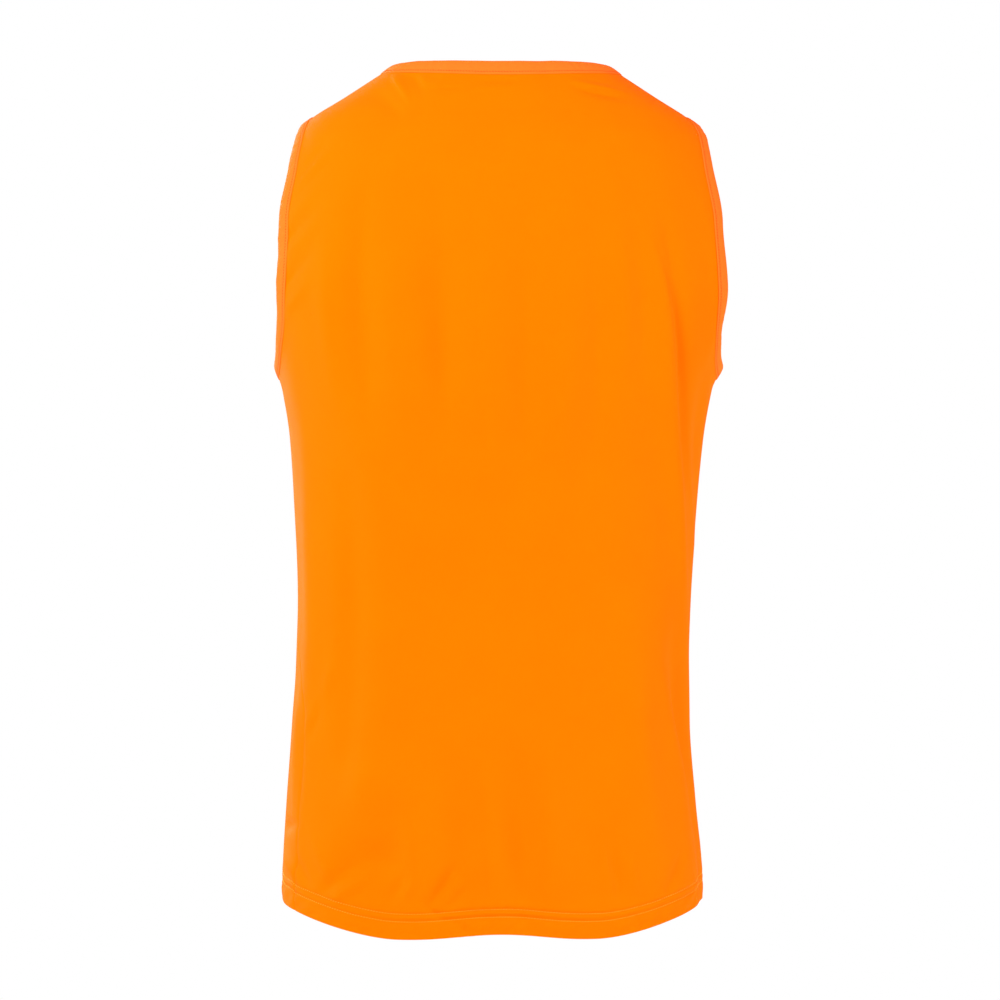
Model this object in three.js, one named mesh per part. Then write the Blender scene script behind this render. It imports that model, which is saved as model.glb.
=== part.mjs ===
// Training bib: a sleeveless knitted vest, filled out as it is when it is worn.
//
// Units are millimetres and +Z is up. The wearer faces -Y, so the back panel is on the +Y side and
// the wearer's left is +X. The origin is midway between the two shoulder seams, where the
// shoulders hold the bib up.
//
// The cloth lies on one closed form, given by an angle round the body ("around", in degrees from
// the centre back towards the wearer's left) and a height. Both panels and all the bindings are
// worked out from that form, so every edge meets its neighbour with a small seam gap.
import * as THREE from 'three';

// ---- driving dimensions ----
const CLOTH = 1.2;                 // wall of the knit
const SEAM_GAP = 0.3;              // space between pieces that are sewn together
const NECK_BINDING = 11.2;         // folded strip, from the panel's edge to its free edge
const ARMHOLE_BINDING = 10;
const BINDING_PROUD = 0.6;         // how far a binding stands off each face of the panel
const BINDING_ROUND = 1.1;         // rounding of the binding's folded edge
const HEM_DEPTH = 21;              // turned up to the inside
const HEM_STEP = 0.6;              // height over which the turned edge ends

const NECK_POINT_LEFT = 21.6;      // height where the shoulder seam meets the neck
const NECK_POINT_RIGHT = 20.6;
const SHOULDER_TIP = -17;          // height where the shoulder seam meets the armhole
const UNDERARM = -231;             // height where the side seam meets the armhole
const ARMHOLE_WIDEST = -150;       // height at which the armhole is widest from front to back
const HEM_AT_SIDE = -661;
const HEM_SWEEP = 0.58;            // share of each half panel over which the hem drops from the side
const SEAM_TURN = 19;              // degrees that the left side seam swings to the back, low down
const SEAM_TURN_FROM = -385;       // heights over which it does so
const SEAM_TURN_TO = -515;
const ROW_SAG = 0.9;               // sag of the grid's shoulder-tip row, as a share of the neck drop

// Each panel: depth of its neckline below the neck points, reach of its armholes from the side
// seam, drop of its hem below the side seam, and the grid that its wall is made with.
const BACK = {
  facing: 1, neckDrop: 6.5, neckPower: 1.2, armholeReach: 62,
  hemDrop: 20, hemLobes: 4.5,
  columns: 58, bodyRows: 14, armholeRows: 14, shoulderRows: 4,
};
const FRONT = {
  facing: -1, neckDrop: 96, neckPower: 1.8, armholeReach: 74,
  hemDrop: 11, hemLobes: 2,
  columns: 44, bodyRows: 14, armholeRows: 12, shoulderRows: 4,
};

// The form at each height: half-width to the wearer's left and right, depth behind and in front of
// the side seams, and how square the section is (2 is an ellipse).
const SECTIONS = [
  { height: 32, left: 80, right: 81, back: 57, front: 50, square: 2.0 },
  { height: 21.6, left: 96.5, right: 97, back: 63, front: 58, square: 2.0 },
  { height: 0, left: 130, right: 130, back: 76, front: 72, square: 2.0 },
  { height: -17, left: 157, right: 156.5, back: 84, front: 81, square: 2.05 },
  { height: -24, left: 164.5, right: 165, back: 88, front: 85, square: 2.05 },
  { height: -34, left: 171, right: 173, back: 93, front: 89, square: 2.1 },
  { height: -58, left: 181, right: 182, back: 102, front: 97, square: 2.2 },
  { height: -107, left: 194, right: 195, back: 113, front: 107, square: 2.3 },
  { height: -157, left: 195, right: 196, back: 117, front: 112, square: 2.4 },
  { height: -200, left: 188.5, right: 186.5, back: 118, front: 112, square: 2.4 },
  { height: -240, left: 180.5, right: 175.5, back: 116.5, front: 109.5, square: 2.4 },
  { height: -283, left: 174, right: 168, back: 112, front: 106, square: 2.4 },
  { height: -350, left: 170, right: 162.5, back: 106, front: 102, square: 2.45 },
  { height: -416, left: 168, right: 158.5, back: 102, front: 101, square: 2.5 },
  { height: -470, left: 169, right: 157, back: 103, front: 103, square: 2.5 },
  { height: -516, left: 172, right: 157, back: 105, front: 105, square: 2.5 },
  { height: -582, left: 176.5, right: 162, back: 107.5, front: 108, square: 2.55 },
  { height: -649, left: 180.5, right: 168, back: 109, front: 110, square: 2.6 },
  { height: -700, left: 181, right: 168, back: 109, front: 111, square: 2.6 },
];

// The large folds. A fold runs down the cloth from top to bottom, centred at "around". It leans by
// "lean" degrees over its length and its middle bows aside by "bow" degrees. A depth below 0 is a
// trough and above 0 a ridge.
const FOLDS = [
  // hanging from the shoulder blades
  { around: 57, lean: -1, bow: 0, top: -100, bottom: -275, spread: 10, depth: 2.2 },
  { around: 48, lean: -3, bow: 0, top: -55, bottom: -295, spread: 9, depth: -3.8 },
  { around: 37, lean: -2, bow: 0, top: -60, bottom: -320, spread: 12, depth: 2.2 },
  { around: 23, lean: -4, bow: 0, top: -55, bottom: -340, spread: 13, depth: -3.6 },
  { around: 7, lean: -5, bow: 0, top: -80, bottom: -390, spread: 14, depth: 2.6 },
  { around: -10, lean: -4, bow: 0, top: -65, bottom: -370, spread: 13, depth: -3.4 },
  { around: -24, lean: -2, bow: 0, top: -80, bottom: -370, spread: 13, depth: 2.2 },
  { around: -36, lean: -4, bow: 0, top: -85, bottom: -330, spread: 9, depth: -2.4 },
  { around: -43, lean: -1, bow: 0, top: -60, bottom: -250, spread: 9, depth: 2.2 },
  { around: -50, lean: -2, bow: 0, top: -100, bottom: -240, spread: 9, depth: -1.6 },
  // from the right shoulder blade round to the side, under the arm
  { around: -58, lean: -16, bow: 3, top: -85, bottom: -355, spread: 10, depth: 3.8 },
  { around: -68, lean: -24, bow: 6.5, top: -75, bottom: -375, spread: 7, depth: -3.4 },
  { around: -71, lean: -4, bow: 0, top: -80, bottom: -240, spread: 9, depth: 2.0 },
  { around: -79, lean: -12, bow: 2, top: -205, bottom: -370, spread: 12, depth: -3.0 },
  // the bottom corner of each armhole stands out a little
  { around: 90, lean: 0, bow: 0, top: -196, bottom: -242, spread: 20, depth: 2.2 },
  { around: -90, lean: 0, bow: 0, top: -198, bottom: -240, spread: 20, depth: 4.0 },
  // down the left side from the waist
  { around: 44, lean: 0, bow: 0, top: -300, bottom: -540, spread: 15, depth: 1.4 },
  { around: 56, lean: 1, bow: 0, top: -285, bottom: -600, spread: 11, depth: -3.6 },
  { around: 71, lean: 0, bow: 0, top: -250, bottom: -650, spread: 13, depth: 3.4 },
  // down the right side from the waist
  { around: -53, lean: -6, bow: 0, top: -410, bottom: -670, spread: 17, depth: 4.6 },
  { around: -75, lean: -14, bow: 0, top: -405, bottom: -615, spread: 14, depth: -7.0 },
  { around: -80, lean: 1, bow: 0, top: -540, bottom: -690, spread: 12, depth: -3.0 },
  // above the hem, back
  { around: 33, lean: 1, bow: 0, top: -530, bottom: -672, spread: 13, depth: 3.0 },
  { around: 17, lean: 0, bow: 0, top: -525, bottom: -695, spread: 14, depth: -2.6 },
  { around: 4, lean: -8, bow: 0, top: -540, bottom: -695, spread: 12, depth: 1.6 },
  { around: -8, lean: -10, bow: 0, top: -520, bottom: -695, spread: 13, depth: -3.2 },
  { around: -21, lean: 0, bow: 0, top: -530, bottom: -690, spread: 13, depth: 2.8 },
  { around: -36, lean: 0, bow: 0, top: -545, bottom: -690, spread: 10, depth: -1.6 },
  // front, chest to waist
  { around: 118, lean: 4, bow: 0, top: -110, bottom: -320, spread: 12, depth: 2.4 },
  { around: 128, lean: -4, bow: 0, top: -100, bottom: -320, spread: 11, depth: -3.4 },
  { around: 142, lean: 2, bow: 0, top: -130, bottom: -330, spread: 14, depth: 2.0 },
  { around: 156, lean: 3, bow: 0, top: -140, bottom: -340, spread: 13, depth: -3.0 },
  { around: 173, lean: -2, bow: 0, top: -120, bottom: -360, spread: 16, depth: 2.4 },
  { around: 190, lean: -3, bow: 0, top: -120, bottom: -330, spread: 12, depth: -3.2 },
  { around: 207, lean: 3, bow: 0, top: -120, bottom: -330, spread: 14, depth: 2.0 },
  { around: 221, lean: 4, bow: 0, top: -110, bottom: -300, spread: 11, depth: -3.2 },
  { around: 236, lean: 8, bow: 0, top: -100, bottom: -280, spread: 11, depth: 2.4 },
  { around: 246, lean: 12, bow: 0, top: -90, bottom: -250, spread: 9, depth: -3.0 },
  // front, waist and hem
  { around: 103, lean: -4, bow: 0, top: -330, bottom: -600, spread: 13, depth: 2.6 },
  { around: 114, lean: -6, bow: 0, top: -420, bottom: -610, spread: 12, depth: -4.2 },
  { around: 142, lean: 5, bow: 0, top: -520, bottom: -695, spread: 18, depth: -3.0 },
  { around: 160, lean: -3, bow: 0, top: -530, bottom: -695, spread: 17, depth: 2.4 },
  { around: 178, lean: -5, bow: 0, top: -500, bottom: -690, spread: 16, depth: -3.2 },
  { around: 197, lean: 4, bow: 0, top: -520, bottom: -690, spread: 17, depth: 2.6 },
  { around: 214, lean: 6, bow: 0, top: -470, bottom: -690, spread: 14, depth: -3.4 },
  { around: 240, lean: -4, bow: 0, top: -330, bottom: -560, spread: 13, depth: -3.4 },
  { around: 254, lean: -2, bow: 0, top: -340, bottom: -600, spread: 13, depth: 2.8 },
];

const BIB_ORANGE = new THREE.Color(1.0, 0.24, 0.0);
const BIB_CLOTH = { color: BIB_ORANGE, roughness: 0.62, metalness: 0 };

// ---- the form of the filled-out bib ----

// A column of the section table at a height, joined by smooth curves that don't overshoot.
function sectionValue(column, height) {
  const last = SECTIONS.length - 1;
  if (height >= SECTIONS[0].height) return SECTIONS[0][column];
  if (height <= SECTIONS[last].height) return SECTIONS[last][column];
  let upper = 0;
  while (SECTIONS[upper + 1].height > height) upper += 1;
  const slopeBetween = (row) => {
    const rise = SECTIONS[row + 1][column] - SECTIONS[row][column];
    return rise / (SECTIONS[row + 1].height - SECTIONS[row].height);
  };
  const slopeAt = (row) => {
    if (row === 0) return slopeBetween(0);
    if (row === last) return slopeBetween(last - 1);
    const above = slopeBetween(row - 1);
    const below = slopeBetween(row);
    return above * below <= 0 ? 0 : (2 * above * below) / (above + below);
  };
  const span = SECTIONS[upper + 1].height - SECTIONS[upper].height;
  const t = (height - SECTIONS[upper].height) / span;
  const startWeight = 1 - t * t * (3 - 2 * t);
  const startSlope = t * (1 - t) * (1 - t) * span;
  const endSlope = -t * t * (1 - t) * span;
  return SECTIONS[upper][column] * startWeight + SECTIONS[upper + 1][column] * (1 - startWeight)
    + slopeAt(upper) * startSlope + slopeAt(upper + 1) * endSlope;
}

const radians = THREE.MathUtils.degToRad;

// Distance from the body's axis to the smooth form.
function plainRadius(around, height) {
  const sine = Math.sin(radians(around));
  const cosine = Math.cos(radians(around));
  const halfWidth = sectionValue(sine > 0 ? 'left' : 'right', height);
  const depth = sectionValue(cosine > 0 ? 'back' : 'front', height);
  const square = sectionValue('square', height);
  const across = Math.abs(sine / halfWidth) ** square;
  const along = Math.abs(cosine / depth) ** square;
  return (across + along) ** (-1 / square);
}

// Angle from one direction to another, from -180 to 180 degrees.
function turnBetween(from, to) {
  return THREE.MathUtils.euclideanModulo(to - from + 180, 360) - 180;
}

function foldDepth(around, height, radius) {
  let depth = 0;
  for (const fold of FOLDS) {
    const down = (fold.top - height) / (fold.top - fold.bottom);
    if (down <= 0 || down >= 1) continue;
    const centre = fold.around + fold.lean * (down - 0.5) + fold.bow * 4 * down * (1 - down);
    const aside = radians(turnBetween(centre, around)) * radius / fold.spread;
    depth += fold.depth * Math.exp(-aside * aside) * Math.sin(Math.PI * down) ** 1.2;
  }
  return depth;
}

// A point on the cloth's outer face.
function clothPoint(around, height) {
  const plain = plainRadius(around, height);
  const radius = plain + foldDepth(around, height, plain);
  const turn = radians(around);
  return new THREE.Vector3(radius * Math.sin(turn), radius * Math.cos(turn), height);
}

// The direction straight out of the cloth.
function clothNormal(around, height) {
  const turnStep = 0.4;
  const heightStep = 0.8;
  const sideways = clothPoint(around + turnStep, height).sub(clothPoint(around - turnStep, height));
  const upwards = clothPoint(around, height + heightStep).sub(clothPoint(around, height - heightStep));
  return upwards.cross(sideways).normalize();
}

// ---- the outline of a panel ----

// The neckline's height; "across" runs from -1 at the right seam to 1 at the left seam.
function necklineHeight(panel, across) {
  const neckPoint = THREE.MathUtils.lerp(NECK_POINT_RIGHT, NECK_POINT_LEFT, (across + 1) / 2);
  return neckPoint - panel.neckDrop * Math.cos(across * Math.PI / 2) ** panel.neckPower;
}

// Height of the hem's edge, all the way round.
function hemCurve(around) {
  const turned = turnBetween(0, around);
  const panel = Math.abs(turned) <= 90 ? BACK : FRONT;
  const across = (panel === BACK ? turned : turnBetween(turned, 180)) / 90;
  const drop = panel.hemDrop * THREE.MathUtils.smoothstep(1 - Math.abs(across), 0, HEM_SWEEP);
  const lobes = panel.hemLobes * Math.sin(across * Math.PI * 1.2) ** 2 * (1 - across ** 4);
  return HEM_AT_SIDE - drop - lobes;
}

// How much the left side seam takes from the back panel's angle and adds to the front's: low down
// it swings round towards the back.
function seamTurn(panel, height) {
  return panel.facing * SEAM_TURN * (1 - THREE.MathUtils.smoothstep(height, SEAM_TURN_TO, SEAM_TURN_FROM));
}

function hemHeight(panel, across) {
  const angle = across * (90 - (across > 0 ? panel.facing * SEAM_TURN : 0));
  return hemCurve(panel.facing > 0 ? angle : 180 - angle);
}

// Angle from the panel's middle to its edge: the seam gap on a seam, more in an armhole.
function edgeAngle(panel, side, height, armholeReach) {
  const halfWidth = sectionValue(side > 0 ? 'left' : 'right', height);
  const depth = sectionValue(panel.facing > 0 ? 'back' : 'front', height);
  const square = sectionValue('square', height);
  const reach = Math.max(armholeReach, SEAM_GAP / 2);
  const width = halfWidth * (1 - (reach / depth) ** square) ** (1 / square);
  return THREE.MathUtils.radToDeg(Math.atan2(width, reach));
}

// The rows of a panel's grid, from hem to neck: each has the height of its ends, the armhole's
// reach there, and for the body rows how far it is from hem to underarm.
function panelRows(panel) {
  const rows = [];
  for (const lift of [0, HEM_DEPTH, HEM_DEPTH + HEM_STEP]) rows.push({ zone: 'hem', lift });
  for (let row = 1; row <= panel.bodyRows; row += 1) {
    rows.push({ zone: 'body', part: row / panel.bodyRows });
  }
  for (let row = 1; row <= panel.armholeRows; row += 1) {
    const turn = Math.PI * row / panel.armholeRows;
    const half = turn < Math.PI / 2 ? ARMHOLE_WIDEST - UNDERARM : SHOULDER_TIP - ARMHOLE_WIDEST;
    const even = THREE.MathUtils.lerp(UNDERARM, SHOULDER_TIP, row / panel.armholeRows);
    const reach = panel.armholeReach * Math.sin(turn);
    rows.push({ zone: 'armhole', end: ARMHOLE_WIDEST - half * Math.cos(turn), even, reach });
  }
  for (let row = 1; row <= panel.shoulderRows; row += 1) {
    rows.push({ zone: 'shoulder', part: row / panel.shoulderRows, reach: 0 });
  }
  return rows;
}

// Height of a grid point. Above the underarm the rows sag towards the panel's middle, under the
// neckline, and leave the armholes level.
function gridHeight(panel, row, across) {
  const hem = hemHeight(panel, across);
  if (row.zone === 'hem') return hem + row.lift;
  if (row.zone === 'body') {
    return THREE.MathUtils.lerp(hem + HEM_DEPTH + HEM_STEP, UNDERARM, row.part);
  }
  const sag = ROW_SAG * panel.neckDrop * Math.cos(across * Math.PI / 2) ** 2;
  if (row.zone === 'shoulder') {
    return THREE.MathUtils.lerp(SHOULDER_TIP - sag, necklineHeight(panel, across), row.part);
  }
  const level = THREE.MathUtils.lerp(row.even, row.end, Math.abs(across) ** 3);
  return level - sag * (level - UNDERARM) / (SHOULDER_TIP - UNDERARM);
}

// The panel's outer points with their normals, row by row.
function panelGrid(panel) {
  return panelRows(panel).map((row) => {
    const points = [];
    for (let column = 0; column <= panel.columns; column += 1) {
      const across = 2 * column / panel.columns - 1;
      const side = across < 0 ? -1 : 1;
      const endHeight = gridHeight(panel, row, side);
      const turn = side > 0 ? seamTurn(panel, endHeight) : 0;
      const angle = across * (edgeAngle(panel, side, endHeight, row.reach ?? 0) - turn);
      const around = panel.facing > 0 ? angle : 180 - angle;
      const height = gridHeight(panel, row, across);
      const turned = row.zone === 'hem' && row.lift <= HEM_DEPTH;
      points.push({
        place: clothPoint(around, height),
        normal: clothNormal(around, height),
        thickness: turned ? 2 * CLOTH : CLOTH,
      });
    }
    return points;
  });
}

// ---- closed solids ----

function solidFrom(vertices, faces) {
  const geometry = new THREE.BufferGeometry();
  geometry.setAttribute('position', new THREE.Float32BufferAttribute(vertices.flatMap((v) => v.toArray()), 3));
  let volume = 0;
  for (const [a, b, c] of faces) {
    volume += vertices[a].dot(new THREE.Vector3().crossVectors(vertices[b], vertices[c]));
  }
  const outward = volume > 0 ? faces : faces.map(([a, b, c]) => [a, c, b]);
  geometry.setIndex(outward.flat());
  geometry.computeVertexNormals();
  return geometry;
}

// A wall: the grid is its outer face, and the same grid moved in by the thickness its inner face.
function panelGeometry(grid) {
  const rows = grid.length;
  const columns = grid[0].length;
  const outer = (row, column) => row * columns + column;
  const inner = (row, column) => rows * columns + outer(row, column);
  const vertices = grid.flat().map((point) => point.place.clone());
  vertices.push(...grid.flat().map((point) => {
    return point.place.clone().addScaledVector(point.normal, -point.thickness);
  }));
  const faces = [];
  const quad = (a, b, c, d) => faces.push([a, b, c], [a, c, d]);
  for (let row = 0; row + 1 < rows; row += 1) {
    for (let column = 0; column + 1 < columns; column += 1) {
      quad(outer(row, column), outer(row, column + 1), outer(row + 1, column + 1), outer(row + 1, column));
      quad(inner(row, column), inner(row + 1, column), inner(row + 1, column + 1), inner(row, column + 1));
    }
  }
  for (let row = 0; row + 1 < rows; row += 1) {
    const last = columns - 1;
    quad(outer(row, 0), outer(row + 1, 0), inner(row + 1, 0), inner(row, 0));
    quad(outer(row, last), inner(row, last), inner(row + 1, last), outer(row + 1, last));
  }
  for (let column = 0; column + 1 < columns; column += 1) {
    const last = rows - 1;
    quad(outer(0, column), inner(0, column), inner(0, column + 1), outer(0, column + 1));
    quad(outer(last, column), outer(last, column + 1), inner(last, column + 1), inner(last, column));
  }
  return solidFrom(vertices, faces);
}

// A folded strip round an opening: it starts a seam gap off the panels' edge and carries on the
// line of the cloth into the opening, a little proud of the cloth on both faces.
function bindingGeometry(edge, width, sense) {
  const outside = BINDING_PROUD;
  const inside = -CLOTH - BINDING_PROUD;
  const free = SEAM_GAP + width;
  const section = [
    [SEAM_GAP, outside], [free - BINDING_ROUND, outside], [free, outside - BINDING_ROUND],
    [free, inside + BINDING_ROUND], [free - BINDING_ROUND, inside], [SEAM_GAP, inside],
  ];
  const vertices = [];
  edge.forEach((point, index) => {
    const next = edge[(index + 1) % edge.length].place;
    const previous = edge[(index + edge.length - 1) % edge.length].place;
    const along = next.clone().sub(previous).normalize();
    const into = new THREE.Vector3().crossVectors(point.normal, along).normalize();
    into.multiplyScalar(sense);
    for (const [out, off] of section) {
      vertices.push(point.place.clone().addScaledVector(into, out).addScaledVector(point.normal, off));
    }
  });
  const faces = [];
  const count = section.length;
  for (let station = 0; station < edge.length; station += 1) {
    const following = (station + 1) % edge.length;
    for (let corner = 0; corner < count; corner += 1) {
      const neighbour = (corner + 1) % count;
      const [a, b] = [station * count + corner, station * count + neighbour];
      const [c, d] = [following * count + neighbour, following * count + corner];
      faces.push([a, b, c], [a, c, d]);
    }
  }
  return solidFrom(vertices, faces);
}

// ---- the pieces ----
const backGrid = panelGrid(BACK);
const frontGrid = panelGrid(FRONT);

// The edge of one armhole: up the back panel from the underarm, then down the front panel.
function armholeEdge(columnOf) {
  const ends = (grid, panel) => {
    const underarm = 2 + panel.bodyRows;
    const tip = underarm + panel.armholeRows;
    return grid.slice(underarm, tip + 1).map((row) => row[columnOf(row)]);
  };
  return [...ends(backGrid, BACK), ...ends(frontGrid, FRONT).reverse()];
}

const leftmost = (row) => row.length - 1;
const rightmost = () => 0;
const neckEdge = [...backGrid.at(-1), ...frontGrid.at(-1).slice().reverse()];

const bib = new THREE.Group();
function addPiece(name, geometry) {
  const piece = new THREE.Mesh(geometry, new THREE.MeshStandardMaterial(BIB_CLOTH));
  piece.name = name;
  bib.add(piece);
}

addPiece('back_panel', panelGeometry(backGrid));
addPiece('front_panel', panelGeometry(frontGrid));
addPiece('neck_binding', bindingGeometry(neckEdge, NECK_BINDING, -1));
addPiece('armhole_binding_left', bindingGeometry(armholeEdge(leftmost), ARMHOLE_BINDING, 1));
addPiece('armhole_binding_right', bindingGeometry(armholeEdge(rightmost), ARMHOLE_BINDING, -1));

export default bib;
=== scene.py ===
"""Training bib: the looks of a sleeveless knitted bib, filled out as it is when it is worn.

Lengths in the tables are millimetres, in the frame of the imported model: +Z up, the wearer faces -Y,
the wearer's left is +X, and the origin is midway between the shoulder seams. A place on the cloth
is given by "around", in degrees from the centre back towards the wearer's left, and a height.
"""
import math

import bpy
import numpy as np
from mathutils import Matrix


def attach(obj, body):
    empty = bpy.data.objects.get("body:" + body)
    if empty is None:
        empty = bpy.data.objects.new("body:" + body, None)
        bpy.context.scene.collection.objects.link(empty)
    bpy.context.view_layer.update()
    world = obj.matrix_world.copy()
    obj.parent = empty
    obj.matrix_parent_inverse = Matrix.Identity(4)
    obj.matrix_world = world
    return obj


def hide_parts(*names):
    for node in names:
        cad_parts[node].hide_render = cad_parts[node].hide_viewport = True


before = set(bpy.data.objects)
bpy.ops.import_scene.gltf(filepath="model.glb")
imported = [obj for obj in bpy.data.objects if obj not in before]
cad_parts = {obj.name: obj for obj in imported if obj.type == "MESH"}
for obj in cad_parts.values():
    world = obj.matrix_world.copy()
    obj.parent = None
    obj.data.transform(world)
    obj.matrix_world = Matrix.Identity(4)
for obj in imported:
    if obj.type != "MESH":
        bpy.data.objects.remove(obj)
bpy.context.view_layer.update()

MM = 0.001

# ---- the cut, in millimetres, with heights from the origin ----
CLOTH = 1.0                 # thickness of the knit
NECK_POINT = {-1: 20.6, 1: 21.6}    # where the neckline meets the right and the left shoulder seam
SHOULDER_TIP = -17.0
ARMHOLE_WIDEST = -150.0
UNDERARM = -231.0
HEM_AT_SIDE = -661.0
HEM_SWEEP = 0.58            # share of half a panel's width over which the hem curves down
HEM_LOBE_TURNS = 1.2
EDGE_COLUMNS = (0, 0.002, 0.0045, 0.0085, 0.014)    # places of a panel's outermost columns
ROW_SAG = 0.9               # share of the neck's drop that the rows below it follow
SHARP_ANGLE = 50            # degrees between faces that meet in an edge

# ---- the seams ----
SEAM_TURN = 19.0            # degrees that the left side seam swings to the back, low down
SEAM_TURN_FROM, SEAM_TURN_TO = -385.0, -515.0
SEAM_GAP = 0.03             # half the gap between the panels at a seam
SEAM_REACH = 0.5            # a row that keeps nearer to the side than this ends at a seam
SEAM_DIP = (1.3, 0.55)      # spread and depth of the groove along a seam

# ---- the hem, in millimetres above its fold ----
HEM_DEPTH = 21.0            # turned up to the inside
HEM_LIFTS = (0, 2, 4, 6, 8, 10, *np.arange(11.5, 25.6, 0.56))
NEEDLE_ROWS = (14.2, 20.4)
NEEDLE_DIP = (0.9, 0.5)     # spread and depth of the groove that a stitch row pulls
SEAM_JOG = 1.4              # step in the stitch rows where they cross the left side seam
JOG_WIDTH, JOG_SETTLES = 1.5, 40    # degrees
HEM_PUFFS = ((17.7, 1.7, 1.2), (24.0, 2.6, 0.7))    # height, spread and depth of each swelling
BAND_PUFF = (9.0, 4.5, 0.35)        # the same, in the middle of the turned band
SIDE_FULLNESS = 0.15        # share of the puffs that is left at the sides
HEM_SWING = 4.0             # how far the hem swings out to one side and in to the other
SWING_HEIGHT = 52.0         # the swing has died away at this height
GIRTH_RADIUS = 150.0        # turns an angle into a length along the hem
ROPING = dict(length=16, slant=0.9, wander=2.2, depth=0.5)      # slanting ripples in the turned band
PUCKER = dict(length=12, wander=2.5, depth=0.35)                # upright ones just above it
RIPPLE_FADES = dict(fold=3, rows=4, above=7)
RIPPLE_MEAN, RIPPLE_CHANGE = 0.6, 0.5

# ---- the bindings, in millimetres ----
NECK_BINDING = 11.4         # from the panel's cut edge to the folded edge
ARMHOLE_BINDING = 10.2
BINDING_LAP = 2.6           # how far the folded strip laps over the panel
BINDING_STEP = 1.6          # between the points along a binding
STRIP_HALF = 0.36           # half the thickness of each layer of the strip
STRIP_ENDS = (0.1, 0.22)    # the same at the strip's cut edge and one point in
STRIP_RIPPLE = dict(shortest=6, longest=11, waves=7, depth=0.22)
NECK_HOLD = 8.0             # how far from its edge a binding keeps the cloth calm
ARMHOLE_HOLD = 9.0

# ---- the stitches, in millimetres: length, thread, and slant in radians ----
STITCH_PITCH = 2.4
BAND_STITCH = (1.4, 0.7, 0.0)
HEM_STITCH = (1.65, 1.0, 0.7)
BAND_ROWS = ((0.0, 0.66), (0.0, -1.66))     # into the opening and off the cloth, outside and inside
HEM_ROW_OFF = 0.05
PATH_POINTS = dict(neck=600, armhole=500, hem=1200)

# Soft unevenness: seed, how many waves, whole turns round the body, and upright lengths.
WAVES = {
    "broad": (11, 9, (7, 16), (160, 420)),
    "fine": (23, 12, (18, 44), (60, 200)),
    "roping": (5, 4, (5, 13), (200, 400)),
    "pucker": (6, 5, (7, 19), (200, 400)),
    "hem": (7, 4, (4, 15), (300, 500)),
}
BROAD_DEPTH, FINE_DEPTH = 0.42, 0.1

# ---- the knit: shares of its relief beside a wale's own rib, and of its shade ----
LOOP_SLOPE, LOOP_RELIEF, FUZZ_RELIEF = 1.4, 0.35, 0.8
PLAIN_SHADE, MOTTLE_SHADE, FLECK_SHADE = 0.93, 0.08, 0.05
KNIT_DEPTH, THREAD_DEPTH = 0.12, 0.05       # millimetres

BACK = dict(
    facing=1, neck_drop=6.5, neck_power=1.2, armhole_reach=62, hem_drop=20, hem_lobes=4.5,
    columns=176, body_rows=114, armhole_rows=72, shoulder_rows=22,
)
FRONT = dict(
    facing=-1, neck_drop=96, neck_power=1.8, armhole_reach=74, hem_drop=11, hem_lobes=2,
    columns=150, body_rows=100, armhole_rows=64, shoulder_rows=16,
)

# The form: half-width to the wearer's left and right of the middle, depth behind and in front of
# the side seams, and how square the section is (2 is an ellipse).
SECTION_COLUMNS = ("height", "left", "right", "back", "front", "square")
SECTIONS = (
    (32, 80, 81, 57, 50, 2.0),
    (21.6, 96.5, 97, 63, 58, 2.0),
    (0, 130, 130, 76, 72, 2.0),
    (-17, 157, 156.5, 84, 81, 2.05),
    (-24, 164.5, 165, 88, 85, 2.05),
    (-34, 171, 173, 93, 89, 2.1),
    (-58, 181, 182, 102, 97, 2.2),
    (-107, 194, 195, 113, 107, 2.3),
    (-157, 195, 196, 117, 112, 2.4),
    (-200, 188.5, 186.5, 118, 112, 2.4),
    (-240, 180.5, 175.5, 116.5, 109.5, 2.4),
    (-283, 174, 168, 112, 106, 2.4),
    (-350, 170, 162.5, 106, 102, 2.45),
    (-416, 168, 158.5, 102, 101, 2.5),
    (-470, 169, 157, 103, 103, 2.5),
    (-516, 172, 157, 105, 105, 2.5),
    (-582, 176.5, 162, 107.5, 108, 2.55),
    (-649, 180.5, 168, 109, 110, 2.6),
    (-700, 181, 168, 109, 111, 2.6),
)

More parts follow.
